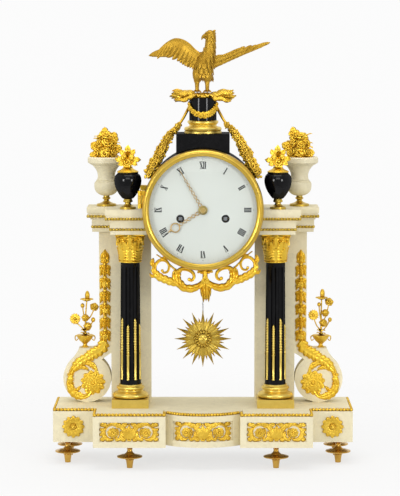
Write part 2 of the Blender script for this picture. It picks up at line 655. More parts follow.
# Flowers of each vase: place across and up from its foot, then size
VASE_FLOWERS = (
    {"cone": (3.2, 66.5, 3.2), "dish": (2.4, 60.4, 8.8), "star": (12.2, 52.4, 6.0), "bud": (-3.0, 54.0, 2.7),
     "daisy": (-12.4, 37.0, 7.2), "upper": (0.6, 38.6, 5.2), "lower": (3.6, 27.6, 5.7), "side": (10.6, 35.6, 2.8)},
    {"cone": (1.8, 69.0, 3.2), "dish": (0.8, 62.6, 8.2), "star": (10.4, 59.0, 6.0), "bud": (-2.6, 55.6, 2.4),
     "daisy": (-9.6, 42.0, 7.0), "upper": (5.6, 45.0, 5.2), "lower": (3.0, 32.0, 5.6), "side": (11.6, 35.8, 2.6)})
# Small leaves at the stems: place, direction
VASE_LEAVES = (((0, -0.5, 20), (0.9, -0.5, 0.5)), ((0, -0.5, 20), (-0.9, -0.5, 0.6)), ((0, -1, 17), (-0.9, -0.4, 0.5)),
               ((0, -1, 17), (0.9, -0.5, 0.3)), ((0, -2, 17), (0, -1, 0.6)), ((0, -1, 22), (-0.5, -0.8, 0.6)))


def flower_vases(form):
    z0 = box_mm("flower_vases")[0][2]
    bowl = [(0.1, 0), (4.7, 0), (4.7, 1.1), (3.8, 1.5), (2.6, 3.2), (2.6, 4.4), (3.6, 5.2), (3.9, 5.8), (5.6, 7.2),
            (7.6, 9.2), (7.9, 9.9), (9.2, 11.4), (10.2, 13.4), (10.3, 14.0), (11.4, 14.6), (11.4, 15.6), (10.2, 16.2),
            (6, 16.4), (0.1, 17.2)]
    for s, plan in zip((-1, 1), VASE_FLOWERS):
        at = np.array([s * VASE_X, VASE_Y, z0])

        def go(x, y, z, at=at):
            return at + (x, y, z)
        lathe(form, *at, bowl, 48)
        for k in (-1, 1):
            tube(form, [go(k * 10.4, 0, 14.8), go(k * 12.4, 0, 14.2), go(k * 12.8, 0, 11), go(k * 11.4, 0, 8.6),
                        go(k * 9.2, 0, 10.6)], [1.0, 0.8, 0.7, 0.6, 0.7], 8, 24)
        ahead = np.array([0.05, -1, 0.2])
        tube(form, [go(0, 0, 15), go(0.4, -0.4, 24), go(plan["dish"][0] * 0.4, 0, 42),
                    go(plan["dish"][0], 0, plan["dish"][1])], [1.6, 1.3, 1.0, 0.9])
        for name, bend in (("star", 40), ("bud", 44), ("daisy", 29), ("side", 27)):
            x, z, r = plan[name]
            tube(form, [go(x * 0.1, -0.4, min(bend - 6, 36)), go(x * 0.55, -0.9, bend - 1),
                        go(x * 0.96, -1.2, z - r * 0.6)], 0.8)
        for name in ("upper", "lower"):
            x, z, r = plan[name]
            ball(form, plain, *go(x, -1.6, z), r * 0.92, 0.94, 16)
            for a in range(7):
                out = heading(a * 360 / 7 + 20)
                sprig(form, go(x, -1.6, z - r * 0.9) + out * r * 0.3, out * 0.9 + (0, 0, 0.9), r * 1.25, r * 0.7, 2,
                      -r * 0.35, -out + (0, 0, 1.0))
        x, z, r = plan["daisy"]
        flower(form, stand(go(x, -2.6, z), ahead + (-0.25, 0, 0)), r, 14, 1, 0.4, 0.3)
        flower(form, stand(go(x, -3.6, z), ahead + (-0.25, 0, 0)), r * 0.66, 10, 1, 0.4, 0.4)
        x, z, r = plan["star"]
        flower(form, stand(go(x, -1.6, z), ahead + (0.2, 0, 0.5)), r, 5, 2, 0.5, 0.25, True)
        for name in ("bud", "side"):
            x, z, r = plan[name]
            ball(form, plain, *go(x, -1.2, z), r, 1.2, 10)
        x, z, r = plan["dish"]
        for a in range(8):
            sprig(form, go(x, 0, z - 0.6), heading(a * 45 + 10) + (0, 0, 0.2), r, r * 0.85, 2, -0.8)
        x, z, r = plan["cone"]
        ball(form, plain, *go(x, 0, z), r, 2.1, 12)
        for p, d in VASE_LEAVES:
            sprig(form, go(*p), d, 6.5, 4.4, 2, 0.8)


# Columns
def flute_reeds(form):
    lo, hi = box_mm("flute_reeds")
    z0, tall = lo[2], hi[2] - lo[2] - 2
    b, beads = circle(10), 11
    tilt = (column_r - NECK_R) / (capital_z - shaft_z)
    for side in (-1, 1):
        for i in range(8):
            a = radians(FLUTE_TURN + 45 * i)
            high = tall - (8 if i % 2 else 0)
            profile = [(0.1, 0), (2.1, 0.1), (2.2, 1.0), (1.8, 1.6), (1.8, high * 0.46), (2.2, high * 0.47),
                       (2.2, high * 0.49)]
            run = high * 0.5 / beads
            for k in range(beads):
                z = high * 0.5 + run * k
                profile += [(1.35, z), (2.15, z + run * 0.3), (2.15, z + run * 0.6), (1.4, z + run * 0.92)]
            profile += [(1.8, high + 0.6), (0.1, high + 4)]
            line = [(column_r - 1.1 - tilt * (h + 6), r, h) for r, h in profile]
            form.sleeve(np.array([surface(
                side * column_x + (q + r * np.cos(b)) * cos(a) - r * np.sin(b) * sin(a),
                column_y + (q + r * np.cos(b)) * sin(a) + r * np.sin(b) * cos(a), z0 + h) for q, r, h in line]))


def capitals(form):
    """Leaf capitals: a bell under three rows of leaves, corner scrolls, a flower on each side and a hollowed plate."""
    lo, hi = box_mm("capitals")
    tall = hi[2] - lo[2]
    r, half = NECK_R, 18.0
    bell = [(0.1, 0), (r + 2.4, 0), (r + 2.8, 0.8), (r + 2.4, 1.8), (r + 1.2, 2.2), (r + 1.2, 4),
            (r + 1.4, tall * 0.4), (r + 2.2, tall * 0.6), (r + 3.6, tall * 0.78), (r + 5.2, tall * 0.92),
            (0.1, tall * 0.92)]

    def swell(h):
        t = np.clip(h / tall, 0, 1)
        return r + 1.2 + 3.6 * t ** 2.4
    # rows of leaves: start, length, width, lean, turn
    rows = ((2.0, tall * 0.44, 11.6, 2.6, 0), (tall * 0.24, tall * 0.48, 11.0, 2.8, 22.5),
            (tall * 0.5, tall * 0.4, 10.4, 2.6, 0))
    for side in (-1, 1):
        x, y, z = side * column_x, column_y, lo[2]
        lathe(form, x, y, z, bell, 48)
        for i in range(8):
            for start, length, wide, lean, turn in rows:
                a = radians(45 * i + turn)
                to = stand((x, y, z), (sin(a), -cos(a), 0))
                way = [(0, start + length * t, swell(start + length * t) + lean * t ** 3) for t in (0, 0.4, 0.75, 1)]
                leaf(form, to, way, wide, 5, 1.7, thick=1.6, cut=0.28, base=0.8, tip=0.4, lean=0.25)
        for i in range(4):
            a = radians(90 * i + 45)
            out = (sin(a), -cos(a), 0)
            corner = half * 1.27
            for s in (-1, 1):
                to = stand((x, y, z), np.cross(out, (0, 0, 1)) * s, (0, 0, 1))
                way = [(r + 3, tall * 0.5), (r + 4.6, tall * 0.7), (corner - 2.6, tall * 0.88)] \
                    + spiral(corner - 3.4, tall * 0.88 - 3.2, 3.2, 1.0, 80, -380, 16)
                flip = [(-s * p if s > 0 else p, q) for p, q in way]
                band(form, turned(to, 0, z=0.2), flip, 3.0, 1.4, 2.2, 1.7, 40)
        for i in range(4):
            a = radians(90 * i)
            to = stand((x, y, z), (sin(a), -cos(a), 0))
            flower(form, turned(to, 0, 0, tall * 0.93, half * 0.9), 3.0, 6, 2, 0.4)
            for s in (-1, 1):
                way = [(3.4, tall * 0.58), (3.0, tall * 0.72)] + spiral(4.2, tall * 0.78, 2.6, 0.8, 190, -220, 14)
                band(form, turned(to, 0, 0, 0, r + 4.4), [(s * p, q) for p, q in way], 1.8, 1.0, 1.6, 1.4, 30)
        edge = []
        for i in range(4):
            for t in np.linspace(-1, 1, 9)[:-1]:
                d, w = half * (0.84 + 0.16 * t * t), half * 0.98 * t
                a = radians(90 * i)
                edge.append((d * sin(a) + w * cos(a), -d * cos(a) + w * sin(a)))
        edge = np.array(edge)
        # outline of the top plate at shares of its size and of the capital's height
        steps = ((0.9, 0.92), (0.95, 0.935), (1.0, 0.95), (1.0, 0.995))
        form.sleeve(np.array([np.c_[edge * k + (x, y), np.full(len(edge), z + tall * h)] for k, h in steps]))


# Entablature and urns
def entablature_beading(form):
    # block over a column: half its width and depth; block over a pilaster: its outer side, front and back
    half_x, half_y = 24.25, 24
    side_x, side_y, back = 117.6 + 23.4, 13.95, 58.95
    # each row's overhang and height
    for out, z in ((1.2, 298.6), (6.6, 312.2)):
        x1, x2 = column_x + half_x + out, side_x + out
        y0, y1 = column_y - half_y - out, side_y - out
        level = min(abs(z - dial_z), abs(z + 2.6 - dial_z))
        x0 = max(column_x - half_x - out, sqrt((drum_r + 1) ** 2 - level ** 2))
        right = [(x0, y0), (x1, y0), (x1, y1), (x2, y1), (x2, back)]
        for line in (right, [(-x, y) for x, y in right[::-1]]):
            bead_row(form, line, z + 1.3, r=1.85, pitch=3.8, inset=1.3)


def posy(form, at, r, tall, rings, leaves, shoots):
    """Star flowers on a mound with leaves between them, and shoots that end in three pointed leaves."""
    at = np.array(at, float)
    lathe(form, *at, [(0.1, -1), (r * 0.5, -0.6), (r * 0.62, tall * 0.2), (r * 0.5, tall * 0.45),
                      (r * 0.24, tall * 0.62), (0.1, tall * 0.66)], 14)
    for count, turn, high, lift, size in rings:
        for i in range(count):
            out = heading(turn + i * 360 / count + chance.uniform(-8, 8), lift + chance.uniform(-8, 8))
            place = at + (0, 0, tall * high) + out * r * 0.58
            flower(form, stand(place, out), r * size * chance.uniform(0.9, 1.1), chance.choice((5, 6)), 2, 0.5, 0.2,
                   True)
    for i in range(leaves):
        out = heading(degrees(2.4 * i), -16 + 70 * i / leaves + chance.uniform(-8, 8))
        sprig(form, at + (0, 0, tall * (0.12 + 0.4 * i / leaves)) + out * r * 0.42, out, r * chance.uniform(0.5, 0.62),
              r * 0.34, 3, r * 0.08)
    for x, y, z, size in shoots:
        root, end = at + (x * 0.25, y * 0.3, min(tall * 0.3, z * 0.6)), at + (x, y, z)
        way = end - root
        run = np.linalg.norm(way)
        way /= run
        tube(form, [root, root + way * run * 0.5, end - way * size], [1.6, 1.3, 0.8], 6, 8)
        for t, lift, share in ((0.3, -3.4, 0.66), (0.5, -3.0, 0.62), (0.5, 3.0, 0.62), (0.7, -2.4, 0.5)):
            face = np.array([way[0] * 0.2 + chance.uniform(-0.4, 0.4), lift, way[2] * 0.2 + 0.3])
            flower(form, stand(root + way * run * t + (0, lift * 0.5, 0), face), size * share, 5, 2, 0.5, 0.2, True)
        side = np.cross(way, (0, 1, 0))
        for bend, length in ((0, 1.0), (0.75, 0.72), (-0.75, 0.72)):
            for front in (-1, 1):
                lean = way + side * bend + np.array((0, 0.12 * front, 0))
                sprig(form, end - way * size * 1.05 + (0, 0.5 * front, 0), lean, size * length * 1.05, size * 0.66, 2,
                      0.3, (0, front, 0.1))


def bouquets(form):
    r = (white_urn_hi[0] - box_mm("white_urn_feet")[1][0]) + 12.5
    x, y = white_urn_hi[0] - r, (white_urn_hi[1] + white_urn_lo[1]) / 2
    z = white_urn_hi[2]
    shoots = {-1: [(-2, -2, 38, 12), (12.6, -3, 31, 11), (-19.5, -3, 16.5, 11), (-21.5, -4, 3, 9), (20, -4, 12.5, 10)],
              1: [(-9.5, -2, 38.5, 12), (6.4, -3, 31, 11), (-23, -3, 16.5, 11), (18.5, -4, 6, 10), (-17, -6, 6, 9)]}
    # rings of flowers: number, turn, height, lift, size
    rings = [(7, 10, 0.1, 10, 0.36), (6, 40, 0.34, 32, 0.36), (4, 0, 0.5, 58, 0.34)]
    for s in (-1, 1):
        lathe(form, s * x, y, z - 8.6, [(0.1, 0), (r * 0.5, 0), (r * 0.62, 9), (0.1, 9.4)], 14)
        posy(form, (s * x, y, z), r * 0.84, 34, rings, 14, shoots[s])


def flower_sprays(form):
    r = SPRAY_URN_R
    x, y = black_urn_hi[0] - r, (black_urn_hi[1] + black_urn_lo[1]) / 2
    z = black_urn_hi[2]
    collar = [(0.1, 0.05), (r * 0.76, 0.05), (r * 0.8, 1.0), (r * 0.72, 2.2), (r * 0.46, 4.2), (r * 0.34, 6.2),
              (r * 0.36, 7.2), (r * 0.26, 8.2), (r * 0.3, 10), (0.1, 10.4)]
    # leaves of the star: turn from the right, lift, length, width, droop
    star = [(92, 74, 21, 8.4, 0), (40, 54, 18, 8, 0.4), (140, 56, 18, 8, 0.4), (-14, 20, 15, 8, 2.6),
            (196, 16, 15, 8, 2.6), (-40, -4, 12.5, 7.4, 2), (220, -6, 12.5, 7.4, 2), (-60, 36, 14, 7.4, 1),
            (240, 36, 14, 7.4, 1), (270, 60, 16, 7.4, 0.6), (60, 30, 15, 7.4, 1), (120, 32, 15, 7.4, 1)]
    # flowers: place, direction, size, petals, depth
    flowers = [((0.8, -5.4, 0.6), (0, -1, 0.25), 7.4, 6, 0.45), ((5, -2.6, 6.6), (0.5, -1, 0.5), 5.2, 5, 0.5),
               ((-5.4, -2.4, 5.4), (-0.5, -1, 0.4), 5.2, 5, 0.5), ((0, 5, 3), (0, 1, 0.25), 6.6, 6, 0.45)]
    for s in (-1, 1):
        flip = np.array([s, 1, 1])
        lathe(form, s * x, y, z, collar, 32)
        at = np.array([s * x, y, z + 12.4])
        lathe(form, *(at - (0, 0, 4)), [(0.1, 0), (3.4, 0.6), (4.6, 4), (3.2, 8), (0.1, 9.6)], 12)
        for turn, lift, length, wide, droop in star:
            out = heading(turn, lift) * flip
            face = (0, -1, 0.4) if abs(cos(radians(turn))) > 0.3 or lift > 60 else (0, -0.4, 1)
            sprig(form, at + out * 2, out, length, wide, 2, droop, face)
        for place, ahead, size, petals, deep in flowers:
            flower(form, stand(at + place * flip, ahead * flip), size, petals, 2, deep, 0.22, True)


# Crown
def garlands(form):
    # line of each side: angle round the drum, distance from it, depth behind its front
    arc = [(75, 36, 33), (67, 28, 25), (59, 19.6, 19), (52.5, 13.8, 15), (47, 10.4, 12), (42, 8.4, 10), (37.5, 7.2, 9),
           (33.5, 6.4, 9)]
    for s in (-1, 1):
        way = [(s * (drum_r + b) * cos(radians(a)), drum_front + c, dial_z + (drum_r + b) * sin(radians(a)))
               for a, b, c in arc]
        hook = (s * (pedestal_r - 1), pedestal_y + 3, pedestal_lo[2] + 0.68 * (pedestal_hi[2] - pedestal_lo[2]))
        line = smooth([hook, *way], 120)
        tube(form, line[::12], [1.9, 1.7, 1.9, 2.2, 2.4, 2.4, 2.4, 2.4, 2.4, 2.2], 8, 60)
        spots = even(line[16:], 21)
        across = np.array([s * 0.8, 0, 0.6])
        for i, p in enumerate(spots):
            full = min(1.0, i / 11)
            for k in (-1, 0, 1):
                place = p + across * k * (1.5 + 2.2 * full) * chance.uniform(0.8, 1.2)
                place = place + (0, (abs(k) * 0.5 - 1) * (2.4 + 1.2 * full), chance.uniform(-1, 1))
                ahead = across * k * 0.8 + (chance.uniform(-0.4, 0.4), -1, chance.uniform(-0.3, 0.5))
                flower(form, stand(place, ahead), (2.1 + 1.1 * full) * chance.uniform(0.8, 1.25), 5, 1, 1.0, 0.3)
            for k in (-1, 1):
                out = across * k + (chance.uniform(-0.5, 0.5), chance.uniform(-0.6, 0.1), chance.uniform(-0.8, 0.2))
                sprig(form, p + out * (1.4 + 1.6 * full), out, (2.6 + 2.2 * full) * chance.uniform(0.6, 1.1),
                      2.4 + 1.2 * full, 2, 0.4, (0, -1, 0.2))
            behind = stand(p + (s * 0.6, 2.4, 0.6), (s * 0.6, 1, 0.5))
            flower(form, behind, 2.4 + 1.2 * full, 5, 1, 0.6, 0.22, True)
        for k in (-1, 0, 1):
            sprig(form, spots[-1] + (s * k * 2.4, 0, -1.5), (s * k * 0.6 + s * 0.3, -0.2, -1), 5.0, 4.2, 2, 0.4,
                  (0, -1, 0))


def pedestal_swag(form):
    z0, tall = pedestal_lo[2], pedestal_hi[2] - pedestal_lo[2]
    reach, r = 68, pedestal_r + 1.4
    line = []
    for t in np.linspace(-1, 1, 17):
        a = radians(reach * t)
        line.append((r * sin(a), pedestal_y - r * cos(a), z0 + tall * (0.25 + 0.46 * t * t)))
    tube(form, line, 1.5, 8, 60)
    for i, p in enumerate(line):
        out = np.array([p[0], p[1] - pedestal_y, 0]) / r
        size = 2.4 + 1.2 * (1 - abs(i - 8) / 8)
        flower(form, stand(np.array(p) + out * 0.9 + (0, 0, 0.8 * (-1) ** i), out), size, 5, 2, 0.5, 0.25, i % 2 > 0)
        for k in (-1, 1):
            sprig(form, np.array(p) + out * 0.3, (0.3 * k * out[1], 0, k), 4.2, 3, 2, 0.4, out)
    for i in (0, -1):
        p = np.array(line[i])
        out = np.array([p[0], p[1] - pedestal_y, 0]) / r
        for k, length in ((-0.4, 7), (0, 9), (0.4, 7)):
            sprig(form, p, (k * out[1], k, -1), length, 4, 3, 0.3, out)


def thunderbolt(form):
    def ripple(t, h):
        return 1 + 0.06 * np.cos(11 * t) + 0.03 * np.cos(27 * t + h)
    z0 = pedestal_hi[2]
    mound = [(0.1, 0.02), (14.6, 0.02), (15.6, 1.6), (14.4, 3.4), (11, 5.2), (8, 6.9), (0.1, 6.9)]
    lathe(form, 0, pedestal_y, z0, mound, 44, ripple)
    # flames: turn, depth, length, height of the tip, rise of the root
    flames = [(0, -4, 33, 0, 0), (14, -7, 30, 4, 1.4), (-16, -8, 29, -6, -0.6), (22, 2, 27, 6, 2),
              (-4, 5, 31, -4, 0.4), (8, -10, 27, -8, -1), (-8, -6, 31, 3, 1), (4, 0, 30, 6.4, 2.2),
              (-20, 2, 26, -4, 0), (12, 6, 27, 1, 1.4)]
    for s in (-1, 1):
        for turn, depth, length, high, rise in flames:
            a = radians(turn)
            start = np.array([s * 9, pedestal_y + depth * 0.8, z0 + 3.0 + rise])
            out = np.array([s * cos(a), -sin(a) * 0.9, high / 40])
            face = np.array([0, -1.0, 0.7])
            to = stand(start, face - out * face.dot(out) / out.dot(out), out)
            leaf(form, to, [(0, 0), (1.2, length * 0.28), (-1.0, length * 0.55), (0.9, length * 0.8), (-0.5, length)],
                 6.6, 3, 2.2, thick=2.2, cut=0.28)
        for turn, length in ((-62, 12), (-84, 11), (62, 12), (84, 11)):
            a = radians(turn)
            out = np.array([s * cos(a), sin(a), 0.06])
            sprig(form, np.array([s * 4, pedestal_y, z0 + 3]) + out * 6, out, length, 7, 3, 1.5)


def feather(form, start, along, face, length, width, thick=0.8, rise=0.16):
    """Feather with a ridge along its shaft and a rounded end."""
    along, face = np.array(along, float), np.array(face, float)
    along /= np.linalg.norm(along)
    face -= along * face.dot(along)
    u, v = np.linspace(0, 1, 9)[:, None], np.linspace(-1, 1, 5)
    half = width / 2 * np.minimum(0.62 + 0.5 * u, np.sqrt(np.clip(1.02 - u ** 3, 0.01, 1)))
    high = width * rise * (1 - v ** 2) * (1 - 0.4 * u) + width * 0.06 * (v == 0)
    form.relief(stand(start, face, along), surface(half * v, length * u - half * 0.25 * v ** 2, high), high - thick)


def wing(form, at, pairs, quills, coverts):
    """Arm between its leading and trailing edge, long feathers from a list, and rows of short ones over the arm."""
    steps = 40
    arm = smooth(pairs, steps)
    x0, z0, x1, z1, deep = arm.T[..., None]
    v = np.linspace(0, 1, 9)
    thick = np.linspace(4.6, 1.2, steps)

    def swell(share):
        return np.sqrt(np.maximum(1 - (2 * share - 1) ** 2 * 0.96, 0)) * (1.25 - 0.7 * share)
    mid = at + surface(x0 + (x1 - x0) * v, deep, z0 + (z1 - z0) * v)
    bulge = surface(0, thick[:, None] * swell(v), 0)
    form.shell(mid - bulge, mid + bulge * 0.6)
    for k, (x, z, angle, length, y) in enumerate(smooth(quills, 2 * len(quills) - 1)):
        a = radians(angle)
        for front in (-1, 1):
            feather(form, at + (x, y + front * 0.7 - 0.06 * k, z), (cos(a), 0.1, sin(a)), (0, front, 0.05), length,
                    5.4, 0.9, 0.1)
    slope = np.interp(np.linspace(0, 1, steps), np.linspace(1, 0, len(quills)), [q[2] for q in quills])
    for share, size, count in coverts:
        for i in range(count):
            j = int(round((i + 0.4) / count * (steps - 2)))
            x, z = arm[j, :2] + (arm[j, 2:4] - arm[j, :2]) * share
            a = radians(slope[j])
            feather(form, at + (x, arm[j, 4] - thick[j] * swell(share) + 0.3, z), (cos(a), 0.06, sin(a)), (0, -1, 0.1),
                    size, size * 0.36, 0.45, 0.05)


# Each wing: upper edge, lower edge and depth along the arm; place, angle, length and depth of the long feathers; share
# of the arm's width, length and number of each row of short ones
WINGS = (
    ([(-3, 50, -6, 30, 0), (-10, 55, -13, 31, 1.6), (-17, 62, -21, 35, 3), (-26, 67, -29, 41, 5),
      (-36, 68, -37, 46, 7), (-46, 63, -46, 47, 9), (-55, 55, -55, 46.6, 10.6)],
     [(-50, 54.4, 205, 20.6, 11.4), (-46, 52.4, 202, 20, 10.4), (-41, 50.6, 200, 17, 9.2), (-35, 48.6, 202, 12, 8),
      (-28, 44.4, 228, 7, 6.6), (-22, 40.5, 232, 7, 4.4), (-16, 37.5, 235, 7, 3.2)],
     ((0.12, 10, 13), (0.34, 12, 11), (0.58, 12, 10))),
    ([(12, 46, 12, 29, 0), (20, 46, 20, 33, 2), (32, 50.4, 31, 38.6, 6), (45, 55.6, 45, 44.8, 11),
      (62, 57, 61, 51.2, 15), (74, 60, 73, 57, 18)],
     [(66, 57.2, 16, 20, 17.7), (60, 54, 18, 20, 16.4), (52, 50, 20, 19, 14.6), (43, 46, 22, 18, 12),
      (34, 42, 22, 17, 9.2), (25, 38, 22, 15, 6), (17, 34, 24, 12, 3)],
     ((0.16, 10, 12), (0.44, 12, 10), (0.74, 12, 9))))


def eagle(form):
    at = np.array([0.0, pedestal_y, EAGLE_Z])
    # body: place across and in depth, height, half width, half depth
    rows = [(1, 1, 21, 7, 6), (1.1, 1, 25, 11.2, 8.6), (1.5, 0, 35, 12.4, 9.6), (4.6, -1.5, 45, 10.6, 9.4),
            (8, -2, 53, 7.9, 7.6), (9.4, -3, 61, 6.4, 6.0), (9.6, -4, 67, 6.0, 5.6), (9.6, -4.6, 72, 6.2, 5.8),
            (9.2, -4.8, 75.6, 5.2, 5.0), (8.6, -4.6, 78.4, 1.8, 1.8)]
    body = smooth(rows, 40)
    a = circle(24)
    form.sleeve(np.array([surface(at[0] + x + w * np.cos(a), at[1] + y - d * np.sin(a), at[2] + z)
                          for x, y, z, w, d in body]))
    for k, q in enumerate(body[3:36:3]):
        number = 12 if q[3] > 9 else 9
        for i in range(number):
            b = 2 * pi * (i + 0.5 * (k % 2)) / number
            out = np.array([cos(b), -sin(b), 0.1])
            place = at + (q[0] + q[3] * 0.97 * cos(b), q[1] - q[4] * 0.97 * sin(b), q[2] + 2)
            size = 4.6 + q[3] * 0.34
            feather(form, place, (out[0] * 0.12, out[1] * 0.12, -1), out, size, size * 0.66, 0.5, 0.08)
    # head: beak, brow, eyes and the crest behind
    tube(form, at + np.array([(6.4, -7.4, 72), (2.4, -8.4, 71.6), (-0.6, -8.8, 69), (-1.6, -8.8, 65.9)]),
         [2.9, 2.5, 1.6, 0.3], 10, 20)
    tube(form, at + np.array([(6, -7, 69), (3, -8, 68.4), (1, -8.6, 68.0)]), [2.0, 1.3, 0.4], 8, 12)
    for k in (-1, 1):
        ball(form, plain, *(at + (5.6 + k * 1.4, -9.2 + k * 1.2, 73.2)), 1.0, 1, 8)
        tube(form, at + np.array([(3.4 + k, -9.4 + k, 74.4), (6.4 + k * 1.6, -9.6 + k * 1.6, 75.2),
                                  (9 + k * 2, -8.6 + k * 2, 74.8)]), 0.7, 6, 10)
    for z, lean in ((76, 0.5), (73.6, 0.2), (71, 0.0), (68, -0.2)):
        feather(form, at + (11.4, -4, z), (1, 0, lean), (0.2, -1, 0.4), 5.2, 3.2, 1.4)
    # thighs, legs and claws
    for x in (-7.4, 5.4):
        thigh = [(0.4, 33, -0.5), (5.2, 29, -0.8), (5.9, 24, -1), (5.3, 18.5, -1.4), (3.5, 14, -1.8), (2.6, 12, -2)]
        form.sleeve(np.array([surface(at[0] + x + r * np.cos(a[::2]), at[1] + y + r * np.sin(a[::2]), at[2] + z)
                              for r, z, y in thigh]))
        for k in range(4):
            for i in range(9):
                b = 2 * pi * (i + 0.5 * (k % 2)) / 9
                r = (5.4, 5.8, 5.4, 4.6)[k]
                feather(form, at + (x + r * 0.92 * cos(b), -1.2 - r * 0.92 * sin(b), 29 - 3.8 * k),
                        (-0.2 * cos(b), 0.2 * sin(b), -1), (cos(b), -sin(b), 0.1), 5.2, 3.2, 0.6, 0.1)
        tube(form, at + np.array([(x, -2, 14), (x, -2.4, 8), (x, -2.8, 1.6)]), [3.3, 2.7, 2.5], 10, 14)
        for b in (-40, 0, 40, 180):
            d = np.array([sin(radians(b)), -cos(radians(b)), 0])
            foot = at + (x, -2.8, 0)
            tube(form, [foot + d * 0.6 + (0, 0, 1.8), foot + d * 3.6 + (0, 0, 2.4), foot + d * 6.6 + (0, 0, 1.3),
                        foot + d * 8 + (0, 0, 0.2)], [1.4, 1.3, 1.0, 0.3], 8, 16)
    # tail, which points to the back
    for b in (-20, -14, -7, 0, 7, 14, 20):
        d, lean = radians(b), radians(38)
        along = (sin(d) * cos(lean), cos(d) * cos(lean), -sin(lean))
        for front in (-1, 1):
            feather(form, at + (3.4 + b / 8, 3, 31.4 - abs(b) / 12 + 0.6 * front), along, (0, 0.6 * front, front),
                    28 - abs(b) / 12, 6.4)
    for sizes in WINGS:
        wing(form, at, *sizes)


# Mount under the drum
APRON_FORMS = (
    # inner scroll
    (band, [(2, -91.5), (9, -95.5), (20, -97.4), (30, -93.6), (36, -86.5), (35.6, -78.5), (30, -73.6), (22, -74.2),
            (15.6, -78.4), (14, -84), (17, -88), (20.6, -87)], 8.4, 3.4, 4.8, 3.4, 100, 0.34),
    (leaf, [(6, -94), (16, -98), (27, -96.6), (35, -89), (39, -80), (36, -72)], 10.4, 6, 5.2, 0.16),
    (leaf, [(26, -95), (33, -88), (33.6, -79), (28, -73)], 8.4, 4, 5.0, 0.2),
    (ball, 20, -86.6, 2.4, 2.4, 0.8, 10),
    # outer scroll
    (band, [(30, -95), (40, -90), (49, -85.6), (57, -81.6), (62, -75), (62, -67.4), (56, -61.6), (48.6, -62.4),
            (44.8, -68.4), (46.6, -75.6), (51.6, -77.2), (54, -74)], 6.4, 2.6, 4.0, 2.8, 100, 0.34),
    (leaf, [(34, -93), (46, -87.6), (57.4, -82), (63.6, -74), (63, -64)], 10.6, 7, 4.2, 0.2),
    (leaf, [(61, -72), (65.4, -65), (64, -58)], 6.4, 3, 3.6, 0.2),
    (ball, 53.4, -74.4, 2.2, 2.0, 0.8, 10),
    (leaf, [(56, -61), (50, -58.6), (45, -61)], 4.6, 3, 3.0, 0.2),
    # thin branch, and small leaves at the joints
    (band, [(35, -76), (41, -70.4), (50, -61.5), (60, -54)], 2.8, 1.5, 2.4, 1.8, 40),
    (leaf, [(60, -80), (66, -81), (69.5, -77)], 4.6, 3, 3.0, 0.2),
    (leaf, [(2, -80), (6.5, -77.4), (10, -79)], 4.4, 2, 3.0, 0.2))


def apron_mount(form):
    r = drum_r
    to = wall(drum_front + 3, 0, dial_z, 1, 2)
    for side in (-1, 1):
        face = mirrored(to, side)
        carve(form, face, APRON_FORMS)
        for angle, length in ((9, 26), (20, 19), (34, 13)):
            leaf(form, turned(face, angle, 0, -r - 16), [(0, 0), (0.6, -length * 0.5), (-0.8, -length)], 5.2, 2, 4.2,
                 cut=0.12)
    band(form, to, [(0, -r - 1.4), (0, -r - 20)], 6.0, 6.6, 4.6, 4.8, 12)
    leaf(form, turned(to, 0, 0, -r - 14), [(0, 0), (0, -13), (0, -26)], 7.4, 3, 5.2, cut=0.14)
    flower(form, turned(to, 0, 0, -r - 14, 3.6), 5.0, 6, 2, 0.5)


# Pendulum
# Forms of the sun's face: height, place to each side and up, half width and half height, as shares of its radius
SUN_FACE = ((0.085, 0.34, 0.30, 0.26, 0.07), (-0.10, 0.36, 0.14, 0.20, 0.10), (0.055, 0.36, 0.13, 0.13, 0.055),
            (0.15, 0, -0.02, 0.1, 0.2), (0.05, 0.09, -0.14, 0.07, 0.06), (0.06, 0, -0.36, 0.24, 0.05),
            (0.06, 0, -0.46, 0.2, 0.05), (-0.05, 0, -0.405, 0.28, 0.02), (0.07, 0, -0.68, 0.22, 0.14),
            (0.04, 0.46, -0.2, 0.2, 0.2))


def sunburst(form):
    lo, hi = box_mm("sunburst")
    r = (hi[2] - lo[2]) / 2
    to = wall(hi[1], 0, (hi[2] + lo[2]) / 2)
    rays = 16
    step = 360 / rays
    u, v = np.linspace(0, 1, 7)[:, None], np.linspace(-1, 1, 5)
    half = r * 0.25 / 2 * np.clip(np.minimum(0.6 + 2 * u, 1.22 * (1 - u)), 0.03, 1)
    root = 0.16
    # rays in two layers: turn, tip, height of the ridge
    for turn, tip, ridge in ((0.0, 1.0, 2.0), (step / 2, 0.76, 1.2)):
        high = 0.7 + (ridge * (1 - 0.75 * u) + 0.3) * (1 - np.abs(v))
        ray = surface(r * (root + (tip - root) * u), half * v, high)
        for i in range(rays):
            form.relief(turned(to, turn + i * step), ray, 0.3 - form.layer())
    face_r = r * 0.22
    u, v = np.linspace(-1, 1, 40)[:, None], np.linspace(-1, 1, 40)
    x, y = u * np.sqrt(1 - v * v / 2), v * np.sqrt(1 - u * u / 2)
    swell = 0.62 * np.sqrt(np.clip(1 - (x * x + y * y) * 0.96, 0, 1))
    for high, cx, cy, wx, wy in SUN_FACE:
        swell += high * np.exp(-((np.abs(x) - cx) / wx) ** 2 - ((y - cy) / wy) ** 2)
    form.relief(to, surface(x * face_r * 0.88, y * face_r, 2.6 + swell * face_r * 0.8), 0.6)
    for i in range(rays):
        leaf(form, turned(to, step * i + step / 2),
             [(face_r * 0.8, 0, 2.4), (face_r * 1.1, 0.5, 2.9), (face_r * 1.5, -0.4, 2.0)], 3.4, 2, 1.4, 0.2)


# Dial
DIAL_SPHERE, DIAL_Y = 970.7, -47.0
WINDING_X, WINDING_DROP = 28.1, 10.8
EYELET_R, EYELET_BORE = 4.6, 3.3
HOUR_TURN, MINUTE_TURN = 237.5, 330.0
MINUTE_R = 63.4
